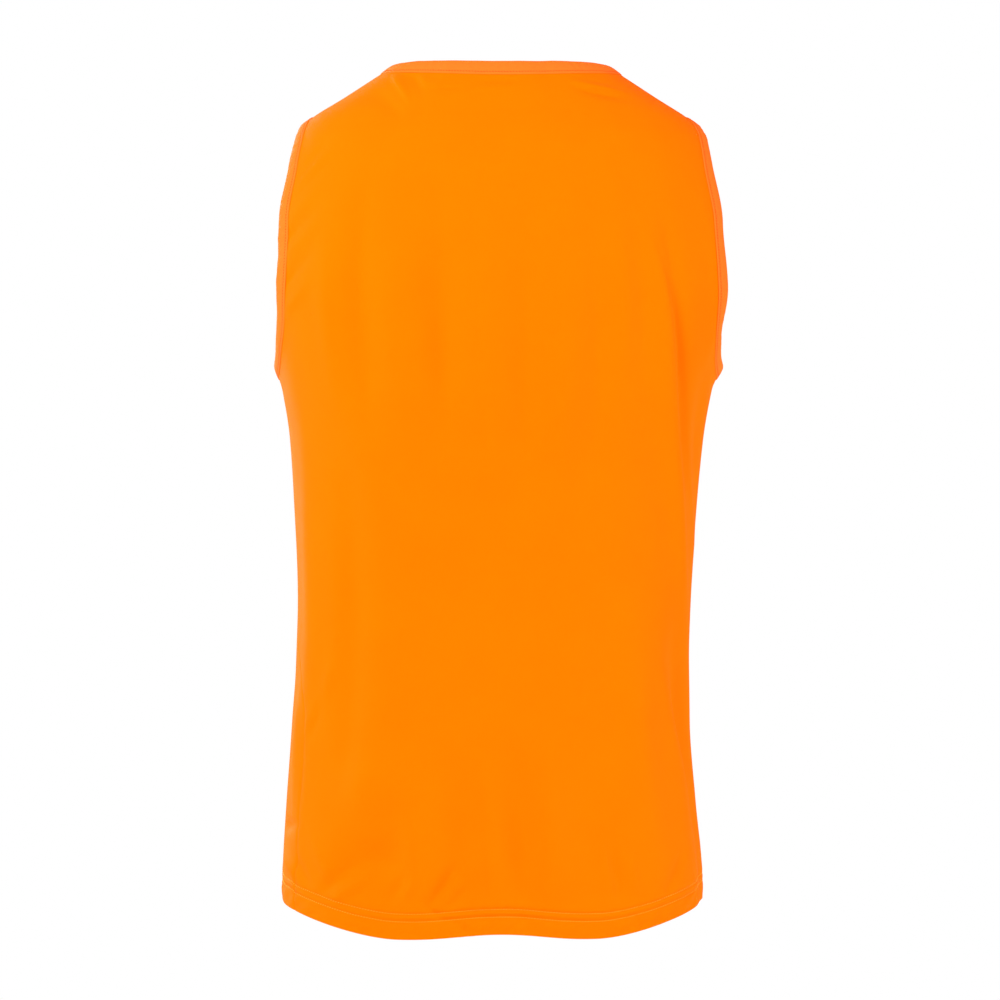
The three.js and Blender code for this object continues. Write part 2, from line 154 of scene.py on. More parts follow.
# The large folds, the same as the solids': each runs down from top to bottom, leaning by "lean"
# degrees over its length and bowed by "bow" degrees at its middle. A depth below 0 is a trough
# and above 0 a ridge.
FOLD_COLUMNS = ("around", "lean", "bow", "top", "bottom", "spread", "depth")
FOLDS = (
    # hanging from the shoulder blades
    (57, -1, 0, -100, -275, 10, 2.2),
    (48, -3, 0, -55, -295, 9, -3.8),
    (37, -2, 0, -60, -320, 12, 2.2),
    (23, -4, 0, -55, -340, 13, -3.6),
    (7, -5, 0, -80, -390, 14, 2.6),
    (-10, -4, 0, -65, -370, 13, -3.4),
    (-24, -2, 0, -80, -370, 13, 2.2),
    (-36, -4, 0, -85, -330, 9, -2.4),
    (-43, -1, 0, -60, -250, 9, 2.2),
    (-50, -2, 0, -100, -240, 9, -1.6),
    # from the right shoulder blade round to the side, under the arm
    (-58, -16, 3, -85, -355, 10, 3.8),
    (-68, -24, 6.5, -75, -375, 7, -3.4),
    (-71, -4, 0, -80, -240, 9, 2.0),
    (-79, -12, 2, -205, -370, 12, -3.0),
    # the bottom corner of each armhole stands out a little
    (90, 0, 0, -196, -242, 20, 2.2),
    (-90, 0, 0, -198, -240, 20, 4.0),
    # down the left side from the waist
    (44, 0, 0, -300, -540, 15, 1.4),
    (56, 1, 0, -285, -600, 11, -3.6),
    (71, 0, 0, -250, -650, 13, 3.4),
    # down the right side from the waist
    (-53, -6, 0, -410, -670, 17, 4.6),
    (-75, -14, 0, -405, -615, 14, -7.0),
    (-80, 1, 0, -540, -690, 12, -3.0),
    # above the hem, back
    (33, 1, 0, -530, -672, 13, 3.0),
    (17, 0, 0, -525, -695, 14, -2.6),
    (4, -8, 0, -540, -695, 12, 1.6),
    (-8, -10, 0, -520, -695, 13, -3.2),
    (-21, 0, 0, -530, -690, 13, 2.8),
    (-36, 0, 0, -545, -690, 10, -1.6),
    # front, chest to waist
    (118, 4, 0, -110, -320, 12, 2.4),
    (128, -4, 0, -100, -320, 11, -3.4),
    (142, 2, 0, -130, -330, 14, 2.0),
    (156, 3, 0, -140, -340, 13, -3.0),
    (173, -2, 0, -120, -360, 16, 2.4),
    (190, -3, 0, -120, -330, 12, -3.2),
    (207, 3, 0, -120, -330, 14, 2.0),
    (221, 4, 0, -110, -300, 11, -3.2),
    (236, 8, 0, -100, -280, 11, 2.4),
    (246, 12, 0, -90, -250, 9, -3.0),
    # front, waist and hem
    (103, -4, 0, -330, -600, 13, 2.6),
    (114, -6, 0, -420, -610, 12, -4.2),
    (142, 5, 0, -520, -695, 18, -3.0),
    (160, -3, 0, -530, -695, 17, 2.4),
    (178, -5, 0, -500, -690, 16, -3.2),
    (197, 4, 0, -520, -690, 17, 2.6),
    (214, 6, 0, -470, -690, 14, -3.4),
    (240, -4, 0, -330, -560, 13, -3.4),
    (254, -2, 0, -340, -600, 13, 2.8),
)

# The small creases: each runs from one place on the cloth to another, bowed sideways by "bow" mm.
CREASE_COLUMNS = ("around", "height", "to_around", "to_height", "bow", "spread", "depth")
CREASES = (
    # along the fold under the right arm
    (-50, -84, -77, -350, 7, 2.8, -1.3),
    # the deep fold low on the right side
    (-66, -440, -82, -566, 2, 11, -2.4),
    (-60, -440, -76, -585, 3, 8, 1.4),
    # the right side, filled out softly in front of those folds
    (-51, -90, -78, -470, 7, 8, 3.6),
    (-60, -235, -76, -440, 3, 8, 2.2),
    (-70, -505, -70, -650, 0, 14, 2.4),
    # fanning out from the left armhole
    (79, -136, 60, -92, 2, 3.6, -2.5),
    (79, -152, 60, -108, 2, 4.2, 2.0),
    (79, -172, 60, -128, 3, 4.6, -2.6),
    (78, -194, 60, -150, 3, 5, 1.6),
    (77, -114, 61, -76, 2, 3.4, 1.3),
    (76, -98, 62, -60, 1, 3.0, -1.0),
    (72, -82, 62, -44, 0, 2.8, 1.6),
    (72, -72, 66, -38, 0, 2.4, -1.4),
    # pulled from the left end of the neck binding
    (80, 26, 44, -14, -5.5, 1.9, 3.6),
    (76, 30, 40, -8, -5.5, 2.6, -2.6),
    (64, 21, 34, 1, 0, 3.2, 1.2),
    (72, 6, 43, -27, -2, 4.4, -1.5),
    # pulled from the right end of the neck binding
    (-40, 9, -68, 1, 1, 2.6, 2.6),
    (-40, 3, -66, -6, 1, 3.0, -2.4),
    # drag lines across the shoulders
    (48, 2, 6, 4, 2, 2.2, -0.7),
    (32, 3, -14, 4, 2, 2.2, 0.6),
    (22, 9, -22, 9, 2, 2.0, -0.6),
    (18, -58, -22, -66, 2, 3.0, 0.6),
    (8, -70, -16, -80, 2, 3.0, -0.7),
    (-8, -100, -26, -110, 1, 3.0, -0.9),
    (-4, -92, -30, -98, 1, 3.0, 0.7),
    # a soft bulge over a hollow, low on the left
    (62, -566, 34, -562, 0, 20, 4.4),
    (59, -624, 34, -622, 0, 17, -6.5),
    # down the left side
    (61, -455, 71, -530, -3, 5, 2.0),
    (64, -478, 70, -535, -2, 4, -2.0),
    (76, -470, 74.5, -606, 0, 3.6, 2.6),
    (72, -480, 70.5, -600, 0, 4.0, -1.6),
    (86, -604, 69, -596, 0, 3.4, -2.8),
    (84, -620, 68, -640, 1, 3.6, 2.6),
    (74, -612, 62, -656, 2, 4.5, -2.2),
    (67, -600, 53, -654, 2, 5.5, 1.8),
    # drawn up from the hem stitching
    (28, -662, 14, -634, 1, 3.6, 2.6),
    (30, -663, 18, -622, 1, 4.0, -3.2),
    (38, -658, 30, -630, 1, 3.4, 2.0),
    (42, -657, 35, -628, 0, 3.2, -1.8),
    (58, -657, 46, -632, 0, 4.0, 3.4),
    (63, -656, 51, -622, 0, 4.2, -3.0),
    (-41, -600, -46, -662, 0, 3.6, -3.4),
    (-47, -612, -50, -658, 0, 4.0, 1.8),
    (-68, -612, -58, -658, 0, 5.0, -2.0),
    # pinches across the hem
    (31, -653, 21, -673, 0, 2.6, -1.4),
    (25, -664, 9, -683, 0, 4.0, -1.3),
    (-49, -664, -53, -680, 0, 2.2, -1.4),
    (-6, -662, -14, -680, 0, 4.0, -0.9),
    (54, -662, 46, -680, 0, 4.0, 0.9),
    # the front, much as the back
    (103, -134, 122, -88, -2, 3.8, -3.2),
    (103, -158, 124, -104, -3, 4.6, 2.8),
    (104, -184, 123, -128, -3, 5.0, -3.6),
    (106, -118, 120, -74, -2, 3.4, 2.0),
    (257, -130, 240, -86, -2, 4.0, -3.4),
    (256, -160, 238, -108, -3, 4.6, 2.8),
    (254, -196, 240, -140, -3, 5.4, -3.0),
    (112, -12, 132, -52, 2, 3.6, 2.6),
    (116, -22, 134, -66, 2, 3.8, -2.6),
    (249, -10, 230, -50, 2, 3.4, 2.2),
    (245, -20, 228, -64, 2, 3.8, -2.4),
    (118, -240, 108, -330, 4, 5, -2.2),
    (244, -250, 257, -350, 4, 5, -2.4),
    (122, -560, 150, -566, 0, 18, 3.6),
    (120, -616, 148, -620, 0, 15, -4.4),
    (232, -560, 214, -572, 0, 17, 3.0),
    (152, -640, 163, -668, 1, 3.6, -2.4),
    (158, -638, 168, -668, 1, 3.6, 2.0),
    (206, -634, 196, -668, 1, 3.8, -2.6),
    (226, -634, 217, -664, 1, 3.6, 1.8),
    (240, -630, 232, -660, 0, 4.0, -2.0),
    (131, -636, 139, -664, 1, 3.4, -1.8),
)


def table(columns, rows):
    return [dict(zip(columns, row)) for row in rows]


# ---- the form ----

def section_curves():
    """Heights, values and slopes of each column of the section table, from the bottom up."""
    data = np.array(SECTIONS[::-1], float)
    height = data[:, 0]
    curves = {}
    for index, name in enumerate(SECTION_COLUMNS[1:], start=1):
        rise = np.diff(data[:, index]) / np.diff(height)
        slope = np.empty(len(height))
        slope[0], slope[-1] = rise[0], rise[-1]
        product = rise[:-1] * rise[1:]
        total = np.where(product > 0, rise[:-1] + rise[1:], 1.0)
        slope[1:-1] = np.where(product > 0, 2 * product / total, 0.0)
        curves[name] = (height, data[:, index], slope)
    return curves


CURVES = section_curves()


def section(name, height):
    """A column of the section table at each height, joined by curves that don't overshoot."""
    heights, values, slopes = CURVES[name]
    level = np.clip(height, heights[0], heights[-1])
    low = np.clip(np.searchsorted(heights, level, side="right") - 1, 0, len(heights) - 2)
    span = heights[low + 1] - heights[low]
    t = (level - heights[low]) / span
    rise = t * t * (3 - 2 * t)
    return (
        values[low] * (1 - rise) + values[low + 1] * rise
        + slopes[low] * t * (1 - t) ** 2 * span - slopes[low + 1] * t * t * (1 - t) * span
    )


def plain_radius(around, height):
    """Distance from the body's axis to the smooth form."""
    sine, cosine = np.sin(np.radians(around)), np.cos(np.radians(around))
    half_width = np.where(sine > 0, section("left", height), section("right", height))
    depth = np.where(cosine > 0, section("back", height), section("front", height))
    square = section("square", height)
    return (np.abs(sine / half_width) ** square + np.abs(cosine / depth) ** square) ** (-1 / square)


def turn_between(start, end):
    """Angle from one direction to another, from -180 to 180 degrees."""
    return np.mod(end - start + 180, 360) - 180


def large_folds(around, height, radius):
    depth = np.zeros(np.broadcast(around, height).shape)
    for fold in table(FOLD_COLUMNS, FOLDS):
        down = (fold["top"] - height) / (fold["top"] - fold["bottom"])
        centre = fold["around"] + fold["lean"] * (down - 0.5) + fold["bow"] * 4 * down * (1 - down)
        aside = np.radians(turn_between(centre, around)) * radius / fold["spread"]
        taper = np.sin(np.pi * np.clip(down, 0, 1)) ** 1.2
        depth += fold["depth"] * np.exp(-aside ** 2) * taper
    return depth


def small_creases(around, height, radius):
    depth = np.zeros(np.broadcast(around, height).shape)
    for crease in table(CREASE_COLUMNS, CREASES):
        right = np.radians(turn_between(crease["around"], around)) * radius
        up = height - crease["height"]
        run = math.radians(turn_between(crease["around"], crease["to_around"])) * radius
        rise = crease["to_height"] - crease["height"]
        length = np.hypot(run, rise)
        along = (right * run + up * rise) / length ** 2
        aside = (up * run - right * rise) / length
        inside = np.clip(along, 0, 1)
        aside = aside - crease["bow"] * 4 * inside * (1 - inside)
        depth += crease["depth"] * np.exp(-(aside / crease["spread"]) ** 2) * np.sin(np.pi * inside) ** 1.3
    return depth


def waves(name, around, height):
    """Soft unevenness, from -1 to 1 or so: waves with whole numbers of turns round the body."""
    seed, count, turns, lengths = WAVES[name]
    rng = np.random.default_rng(seed)
    total = np.zeros(np.broadcast(around, height).shape)
    for _ in range(count):
        times = rng.integers(turns[0], turns[1] + 1)
        length = rng.uniform(lengths[0], lengths[1]) * rng.choice((-1, 1))
        phase = rng.uniform(0, 2 * math.pi)
        total += np.sin(np.radians(around) * times + height * 2 * math.pi / length + phase)
    return total / math.sqrt(count)


def unevenness(around, height):
    return BROAD_DEPTH * waves("broad", around, height) + FINE_DEPTH * waves("fine", around, height)


def smooth(value):
    value = np.clip(value, 0, 1)
    return value * value * (3 - 2 * value)


def hem_curve(around):
    """Height of the hem's fold, all the way round."""
    turned = turn_between(0, around)
    back = np.abs(turned) <= 90
    across = np.where(back, turned / 90, turn_between(turned, 180) / 90)
    sweep = smooth((1 - np.abs(across)) / HEM_SWEEP)
    wave = np.sin(across * math.pi * HEM_LOBE_TURNS) ** 2 * (1 - across ** 4)
    drop = np.where(back, BACK["hem_drop"], FRONT["hem_drop"])
    lobes = np.where(back, BACK["hem_lobes"], FRONT["hem_lobes"])
    return HEM_AT_SIDE - drop * sweep - lobes * wave


def stitch_jog(around):
    """The hem's stitch rows step up beyond the left side seam and settle again round the front."""
    past = turn_between(90 - SEAM_TURN, around)
    settling = np.where(past > 0, np.exp(-np.abs(past) / JOG_SETTLES), 0)
    return SEAM_JOG * settling * smooth(np.abs(past) / JOG_WIDTH)


def swell(lift, place, spread, depth):
    """A rounded ridge along the hem, at one height above its fold."""
    return depth * np.exp(-((lift - place) / spread) ** 2)


def hem_relief(around, height):
    """The hem puffs up by its stitch rows, ripples where its layers are sewn, and swings a little."""
    lift = height - hem_curve(around)
    from_jog = lift - stitch_jog(around)
    turn = np.radians(around)
    facing = np.abs(np.cos(turn))
    relief = np.zeros_like(lift)
    for row in NEEDLE_ROWS:
        relief -= swell(from_jog, row, *NEEDLE_DIP)
    fullness = SIDE_FULLNESS + (1 - SIDE_FULLNESS) * facing ** 1.5
    puff = sum(swell(from_jog, *row) for row in HEM_PUFFS)
    puff = puff * fullness + swell(lift, *BAND_PUFF)
    arc = turn * GIRTH_RADIUS
    slanted = arc + ROPING["slant"] * lift
    wander = ROPING["wander"] * waves("roping", around, height)
    roping = np.sin(2 * math.pi * slanted / ROPING["length"] + wander)
    wander = PUCKER["wander"] * waves("pucker", around, height)
    pucker = np.sin(2 * math.pi * arc / PUCKER["length"] + wander)
    uneven = RIPPLE_MEAN + RIPPLE_CHANGE * waves("hem", around, height)
    lower, upper = NEEDLE_ROWS
    in_band = np.clip(lift / RIPPLE_FADES["fold"], 0, 1)
    in_band = in_band * np.clip((lower - lift) / RIPPLE_FADES["rows"], 0, 1)
    above = np.exp(-np.clip(lift - upper, 0, None) / RIPPLE_FADES["above"]) * (lift > upper)
    ripples = ROPING["depth"] * roping * in_band + PUCKER["depth"] * pucker * above
    swing = HEM_SWING * np.sin(2 * turn) * facing * np.clip(1 - lift / SWING_HEIGHT, 0, 1) ** 1.5
    return relief + puff + swing + ripples * uneven


def calm(around, height, radius):
    """0 at the bindings, which hold the cloth's edge, rising to 1 a little way off."""
    turned = turn_between(0, around)
    settled = np.ones_like(radius)
    half = np.where(height > ARMHOLE_WIDEST, SHOULDER_TIP - ARMHOLE_WIDEST, ARMHOLE_WIDEST - UNDERARM)
    level = np.clip((height - ARMHOLE_WIDEST) / half, -1, 1)
    for panel, angle in ((BACK, turned), (FRONT, turn_between(turned, 180))):
        here = np.abs(angle) <= 90
        below_neck = neckline_height(panel, np.clip(angle / 90, -1, 1)) - height
        reach = panel["armhole_reach"] * np.sqrt(1 - level ** 2) + 1e-3
        edge = edge_angle(panel, np.sign(angle), height, reach)
        from_armhole = np.radians(edge - np.abs(angle)) * radius
        free = (height < UNDERARM) | (height > SHOULDER_TIP)
        held = smooth(below_neck / NECK_HOLD) * np.where(free, 1.0, smooth(from_armhole / ARMHOLE_HOLD))
        settled = np.where(here, held, settled)
    return settled


def cloth_point(around, height):
    """Points on the outer face of the cloth, in millimetres."""
    around, height = np.broadcast_arrays(np.asarray(around, float), np.asarray(height, float))
    plain = plain_radius(around, height)
    creases = small_creases(around, height, plain) * calm(around, height, plain)
    radius = plain + large_folds(around, height, plain) + creases
    radius = radius + unevenness(around, height) + hem_relief(around, height)
    turn = np.radians(around)
    return np.stack([radius * np.sin(turn), radius * np.cos(turn), height], axis=-1)


def unit(vectors):
    return vectors / np.linalg.norm(vectors, axis=-1, keepdims=True)


def cloth_normal(around, height, turn_step=0.5, height_step=1.0):
    sideways = cloth_point(around + turn_step, height) - cloth_point(around - turn_step, height)
    upwards = cloth_point(around, height + height_step) - cloth_point(around, height - height_step)
    return unit(np.cross(upwards, sideways))


# ---- the outline of a panel; "across" runs from -1 at the right seam to 1 at the left seam ----

def neckline_height(panel, across):
    point = NECK_POINT[-1] + (NECK_POINT[1] - NECK_POINT[-1]) * (across + 1) / 2
    return point - panel["neck_drop"] * np.cos(across * math.pi / 2).clip(0) ** panel["neck_power"]


def seam_turn(panel, height):
    """How much the left side seam takes from the back panel's angle and adds to the front's."""
    return panel["facing"] * SEAM_TURN * smooth((SEAM_TURN_FROM - height) / (SEAM_TURN_FROM - SEAM_TURN_TO))


def hem_height(panel, across):
    angle = across * (90 - np.where(across > 0, panel["facing"] * SEAM_TURN, 0))
    return hem_curve(angle if panel["facing"] > 0 else 180 - angle)


def edge_angle(panel, side, height, reach):
    half_width = np.where(side > 0, section("left", height), section("right", height))
    depth = section("back" if panel["facing"] > 0 else "front", height)
    square = section("square", height)
    width = half_width * (1 - (reach / depth) ** square) ** (1 / square)
    return np.degrees(np.arctan2(width, reach))


def armhole_rise(turn):
    """Height of the armhole's edge, where turn goes from 0 under the arm to pi at the shoulder."""
    half = np.where(turn < math.pi / 2, ARMHOLE_WIDEST - UNDERARM, SHOULDER_TIP - ARMHOLE_WIDEST)
    return ARMHOLE_WIDEST - half * np.cos(turn)


def panel_rows(panel):
    """Rows of a panel's grid from hem to neck: each gives heights for all "across", and a reach."""
    rows = []
    for lift in HEM_LIFTS:
        rows.append((lambda across, lift=lift: hem_height(panel, across) + lift, 0.0))
    for part in np.arange(1, panel["body_rows"] + 1) / panel["body_rows"]:
        def body(across, part=part):
            low = hem_height(panel, across) + HEM_LIFTS[-1]
            return low + (UNDERARM - low) * part
        rows.append((body, 0.0))

    def sag(across):
        return ROW_SAG * panel["neck_drop"] * np.cos(across * math.pi / 2) ** 2

    for part in np.arange(1, panel["armhole_rows"] + 1) / panel["armhole_rows"]:
        def armhole(across, part=part):
            even = UNDERARM + (SHOULDER_TIP - UNDERARM) * part
            level = even + (armhole_rise(math.pi * part) - even) * np.abs(across) ** 3
            return level - sag(across) * (level - UNDERARM) / (SHOULDER_TIP - UNDERARM)
        rows.append((armhole, panel["armhole_reach"] * math.sin(math.pi * part)))
    for part in np.arange(1, panel["shoulder_rows"] + 1) / panel["shoulder_rows"]:
        def shoulder(across, part=part):
            low = SHOULDER_TIP - sag(across)
            return low + (neckline_height(panel, across) - low) * part
        rows.append((shoulder, 0.0))
    return rows


def panel_columns(panel):
    """Columns across a panel, closer together by its two edges."""
    edge = 1 - np.array(EDGE_COLUMNS)
    inner = np.linspace(-edge[-1], edge[-1], panel["columns"])[1:-1]
    return np.concatenate([-edge, inner, edge[::-1]])


# ---- meshes ----

def add_object(name, data):
    made = bpy.data.objects.new(name, data)
    bpy.context.scene.collection.objects.link(made)
    return made


def mesh_object(name, points_mm, faces, uv_mm, material):
    """A mesh object from points in millimetres, faces with equally many sides, and the cloth's map."""
    mesh = bpy.data.meshes.new(name)
    points = np.asarray(points_mm, float).reshape(-1, 3) * MM
    faces = np.asarray(faces)
    sides = faces.shape[1]
    mesh.vertices.add(len(points))
    mesh.vertices.foreach_set("co", points.ravel())
    mesh.loops.add(faces.size)
    mesh.loops.foreach_set("vertex_index", faces.ravel())
    mesh.polygons.add(len(faces))
    mesh.polygons.foreach_set("loop_start", np.arange(len(faces)) * sides)
    mesh.update(calc_edges=True)
    layer = mesh.uv_layers.new(name="cloth")
    layer.data.foreach_set("uv", (np.asarray(uv_mm, float)[faces.ravel()] * MM).ravel())
    mesh.validate()
    mesh.shade_smooth()
    mesh.set_sharp_from_angle(angle=math.radians(SHARP_ANGLE))
    mesh.materials.append(material)
    return add_object(name, mesh)


def outward(points, faces):
    """The faces, turned so that the closed mesh has its faces pointing out."""
    corners = points[faces]
    volume = 0.0
    for k in range(1, faces.shape[1] - 1):
        volume += np.einsum("ij,ij->i", corners[:, 0], np.cross(corners[:, k], corners[:, k + 1])).sum()
    return faces if volume > 0 else faces[:, ::-1]


def grid_faces(rows, columns, offset=0, wrap=False):
    """Four-sided faces of a grid of points; wrap joins the last row to the first."""
    row = np.arange(rows if wrap else rows - 1)[:, None]
    column = np.arange(columns - 1)[None, :]
    following = (row + 1) % rows
    corners = (row * columns + column, row * columns + column + 1,
               following * columns + column + 1, following * columns + column)
    full = [np.broadcast_to(corner, (len(row), columns - 1)) for corner in corners]
    return np.stack(full, -1).reshape(-1, 4) + offset


def wall(name, outer, inner, uv, material):
    """A closed sheet of cloth from its outer and inner grids of points."""
    rows, columns = outer.shape[:2]
    count = rows * columns
    points = np.concatenate([outer.reshape(-1, 3), inner.reshape(-1, 3)])
    top = grid_faces(rows, columns)
    under = grid_faces(rows, columns, count)[:, ::-1]
    rim = np.concatenate([
        np.arange(columns), np.arange(1, rows) * columns + columns - 1,
        (rows - 1) * columns + np.arange(columns - 2, -1, -1), np.arange(rows - 2, 0, -1) * columns,
    ])
    after = np.roll(rim, -1)
    edge = np.stack([after, rim, rim + count, after + count], -1)
    faces = outward(points, np.concatenate([top, under, edge]))
    return mesh_object(name, points, faces, np.concatenate([uv, uv]).reshape(-1, 2), material)


def make_panel(name, panel, material):
    """One panel as a wall of cloth, doubled at its turned hem and drawn in along its seams."""
    across = panel_columns(panel)
    rows = panel_rows(panel)
    heights = np.array([level(across) for level, _ in rows])
    side = np.where(across < 0, -1, 1)
    around = np.empty_like(heights)
    seam = np.empty(len(rows), bool)
    for index, (level, reach) in enumerate(rows):
        ends = np.where(side > 0, level(np.array(1.0)), level(np.array(-1.0)))
        turn = np.where(side > 0, seam_turn(panel, ends), 0)
        around[index] = across * (edge_angle(panel, side, ends, max(reach, SEAM_GAP)) - turn)
        seam[index] = reach < SEAM_REACH
    if panel["facing"] < 0:
        around = 180 - around
    outer = cloth_point(around, heights)
    normal = cloth_normal(around, heights)
    lift = heights - hem_curve(around)
    layers = np.where(lift < HEM_DEPTH, 2.0, 1.0)
    inner = outer - normal * (CLOTH * layers)[..., None]
    steps = np.linalg.norm(np.diff(outer, axis=1), axis=-1)
    arc = np.concatenate([np.zeros((len(rows), 1)), np.cumsum(steps, axis=1)], axis=1)
    from_edge = np.minimum(arc, arc[:, -1:] - arc)
    dip = SEAM_DIP[1] * np.exp(-(from_edge / SEAM_DIP[0]) ** 2) * seam[:, None]
    outer = outer - normal * dip[..., None]
    uv = np.stack([arc - arc[:, -1:] / 2, heights], axis=-1)
    return wall(name, outer, inner, uv, material)


# ---- bindings ----

def evenly(around, height):
    """The same path with its places about one binding step apart."""
    points = cloth_point(around, height)
    run = np.concatenate([[0], np.cumsum(np.linalg.norm(np.diff(points, axis=0), axis=1))])
    count = int(round(run[-1] / BINDING_STEP))
    wanted = np.linspace(0, run[-1], count + 1)
    return np.interp(wanted, run, around), np.interp(wanted, run, height)


def neck_path():
    """The neckline: along the back from right to left, then along the front back to the right."""
    across = np.sin(np.linspace(-math.pi / 2, math.pi / 2, PATH_POINTS["neck"]))
    back = (across * 90, neckline_height(BACK, across))
    front = (180 - across[::-1] * 90, neckline_height(FRONT, across[::-1]))
    around = np.concatenate([back[0], front[0][1:]])
    height = np.concatenate([back[1], front[1][1:]])
    return evenly(around, height)


def armhole_path(side):
    """The armhole's edge: up the back from the underarm, then down the front."""
    turn = np.linspace(0, math.pi, PATH_POINTS["armhole"])
    height = armhole_rise(turn)
    back = edge_angle(BACK, side, height, BACK["armhole_reach"] * np.sin(turn) + 1e-6)
    front = edge_angle(FRONT, side, height, FRONT["armhole_reach"] * np.sin(turn) + 1e-6)
    around = np.concatenate([back, (180 - front)[::-1][1:]]) * side
    return evenly(around, np.concatenate([height, height[::-1][1:]]))


def path_frame(path, sense):
    """Place, outward normal and the direction into the opening, round a closed path."""
    around, height = (values[:-1] for values in path)
    place = cloth_point(around, height)
    normal = cloth_normal(around, height)
    along = unit(np.roll(place, -1, axis=0) - np.roll(place, 1, axis=0))
    into = unit(np.cross(normal, along)) * sense
    return place, normal, into


def strip_section(width):
    """Outline of a folded strip: how far each point is into the opening and off the cloth."""
    lap = -BINDING_LAP
    spine = [
        (lap, 0.16), (lap + 0.5, 0.3), (lap + 1.3, 0.42), (-0.7, 0.34), (0.0, 0.12), (0.7, 0.36),
        (1.5, 0.6), (width * 0.45, 0.75), (width * 0.75, 0.7), (width - 1.3, 0.4), (width - 0.4, 0.0),
        (width, -0.5),
        (width - 0.4, -1.0), (width - 1.3, -1.4), (width * 0.75, -1.7), (width * 0.45, -1.75), (1.5, -1.6),
        (0.7, -1.36), (0.0, -1.12), (-0.7, -1.34), (lap + 1.3, -1.42), (lap + 0.5, -1.3), (lap, -1.16),
    ]
    spine = np.array(spine)
    ahead = np.gradient(spine, axis=0)
    across = unit(np.stack([-ahead[:, 1], ahead[:, 0]], -1))
    half = np.full((len(spine), 1), STRIP_HALF)
    half[[0, -1]], half[[1, -2]] = STRIP_ENDS
    return np.concatenate([spine + across * half, (spine - across * half)[::-1]])


def make_binding(name, path, width, sense, seed, material):
    """A folded strip round a closed path, rippled a little between its stitches."""
    place, normal, into = path_frame(path, sense)
    outline = strip_section(width)
    count, corners = len(place), len(outline)
    run = np.arange(count) * 2 * math.pi / count
    rng = np.random.default_rng(seed)
    ripple = np.zeros(count)
    length = count * BINDING_STEP
    fewest, most = length / STRIP_RIPPLE["longest"], length / STRIP_RIPPLE["shortest"]
    for times in rng.integers(fewest, most, STRIP_RIPPLE["waves"]):
        ripple += np.sin(run * times + rng.uniform(0, 6.28)) / math.sqrt(STRIP_RIPPLE["waves"])
    spread = np.clip(outline[:, 0] / width, 0, 1)
    bulge = np.sin(math.pi * spread)[None, :] * ripple[:, None] * STRIP_RIPPLE["depth"]
    off = outline[:, 1][None, :] + bulge
    points = place[:, None] + into[:, None] * outline[:, 0][None, :, None] + normal[:, None] * off[..., None]
    points = points.reshape(-1, 3)
    faces = grid_faces(count, corners + 1, wrap=True)
    column = faces % (corners + 1)
    faces = faces // (corners + 1) * corners + np.where(column == corners, 0, column)
    along = np.repeat(np.arange(count) * BINDING_STEP, corners)
    uv = np.stack([along, np.tile(outline[:, 0], count)], -1)
    return mesh_object(name, points, outward(points, faces), uv, material)


# ---- stitches ----

def stitch_tree(name, length, thickness, slant, material):
    """Threads along a path: a short rounded stitch every pitch, turned from the path by the slant."""
    tree = bpy.data.node_groups.new(name, "GeometryNodeTree")
    socket = tree.interface.new_socket
    socket("Geometry", in_out="INPUT", socket_type="NodeSocketGeometry")
    defaults = {
        "Pitch": STITCH_PITCH * MM, "Stitch length": length * MM, "Thread": thickness * MM, "Slant": slant,
    }
    for label, value in defaults.items():
        made = socket(label, in_out="INPUT", socket_type="NodeSocketFloat")
        made.default_value = value
    socket("Geometry", in_out="OUTPUT", socket_type="NodeSocketGeometry")
    node = tree.nodes.new
    given, result = node("NodeGroupInput"), node("NodeGroupOutput")
    curve = node("GeometryNodeMeshToCurve")
    spaced = node("GeometryNodeResampleCurve")
    spaced.mode = "LENGTH"
    tangent = node("GeometryNodeInputTangent")
    outward_of = node("GeometryNodeInputNamedAttribute")
    outward_of.data_type = "FLOAT_VECTOR"
    outward_of.inputs["Name"].default_value = "off_cloth"
    along = node("FunctionNodeAlignRotationToVector")
    along.axis = "Z"
    flat = node("FunctionNodeAlignRotationToVector")
    flat.axis = "X"
    flat.pivot_axis = "Z"
    lean = node("ShaderNodeCombineXYZ")
    to_rotation = node("FunctionNodeEulerToRotation")
    turn = node("FunctionNodeRotateRotation")
    turn.rotation_space = "LOCAL"
    size = node("ShaderNodeCombineXYZ")
    ball = node("GeometryNodeMeshUVSphere")
    ball.inputs["Segments"].default_value = 8
    ball.inputs["Rings"].default_value = 5
    ball.inputs["Radius"].default_value = 0.5
    place = node("GeometryNodeInstanceOnPoints")
    real = node("GeometryNodeRealizeInstances")
    soft = node("GeometryNodeSetShadeSmooth")
    finish = node("GeometryNodeSetMaterial")
    finish.inputs["Material"].default_value = material
    links = (
        (given, "Geometry", curve, "Mesh"),
        (curve, "Curve", spaced, "Curve"),
        (given, "Pitch", spaced, "Length"),
        (tangent, "Tangent", along, "Vector"),
        (along, "Rotation", flat, "Rotation"),
        (outward_of, "Attribute", flat, "Vector"),
        (given, "Slant", lean, "X"),
        (lean, "Vector", to_rotation, "Euler"),
        (flat, "Rotation", turn, "Rotation"),
        (to_rotation, "Rotation", turn, "Rotate By"),
        (given, "Thread", size, "X"),
        (given, "Thread", size, "Y"),
        (given, "Stitch length", size, "Z"),
        (spaced, "Curve", place, "Points"),
        (ball, "Mesh", place, "Instance"),
        (turn, "Rotation", place, "Rotation"),
        (size, "Vector", place, "Scale"),
        (place, "Instances", real, "Geometry"),
        (real, "Geometry", soft, "Geometry"),
        (soft, "Geometry", finish, "Geometry"),
        (finish, "Geometry", result, "Geometry"),
    )
    for source, output, target, entry in links:
        tree.links.new(source.outputs[output], target.inputs[entry])
    return tree


